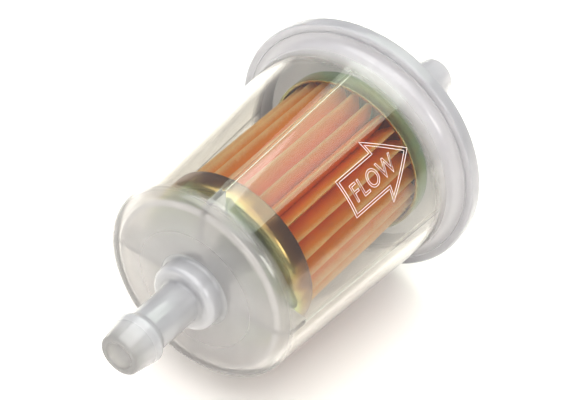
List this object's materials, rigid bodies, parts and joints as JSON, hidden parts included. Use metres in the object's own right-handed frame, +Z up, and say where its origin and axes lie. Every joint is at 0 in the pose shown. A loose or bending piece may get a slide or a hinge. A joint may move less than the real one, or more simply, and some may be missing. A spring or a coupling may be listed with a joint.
{
  "type": "in-line fuel filter",
  "caption": "Sealed in-line fuel filter: clear tapered bowl and white cover around a pleated paper element, with a hose barb at each end.",
  "frame": {"origin": "on the filter's axis, halfway between the tips of the two hose barbs", "axes": "+X along the flow from the inlet barb to the outlet barb, +Z up, with one centring rib of the bowl at +Z"},
  "size_m": [0.0842, 0.045, 0.045],
  "materials": {
    "clear_nylon": "clear moulded nylon, slightly milky",
    "white_nylon": "natural white moulded nylon, translucent",
    "yellow_zinc_steel": "zinc plate with yellow chromate, iridescent",
    "resin_paper": "resin-treated filter paper, pleated",
    "tinned_steel": "tin plate",
    "adhesive": "cured plastisol",
    "nitrile": "moulded nitrile rubber"
  },
  "bodies": {
    "root": {"housing_bowl": "clear_nylon", "outlet_cover": "white_nylon", "inlet_end_cap": "yellow_zinc_steel", "outlet_end_cap": "yellow_zinc_steel", "pleated_paper": "resin_paper", "support_tube": "tinned_steel", "inlet_potting": "adhesive", "outlet_potting": "adhesive", "outlet_seal": "nitrile", "pleat_seam_clip": "tinned_steel"}
  },
  "joints": []
}
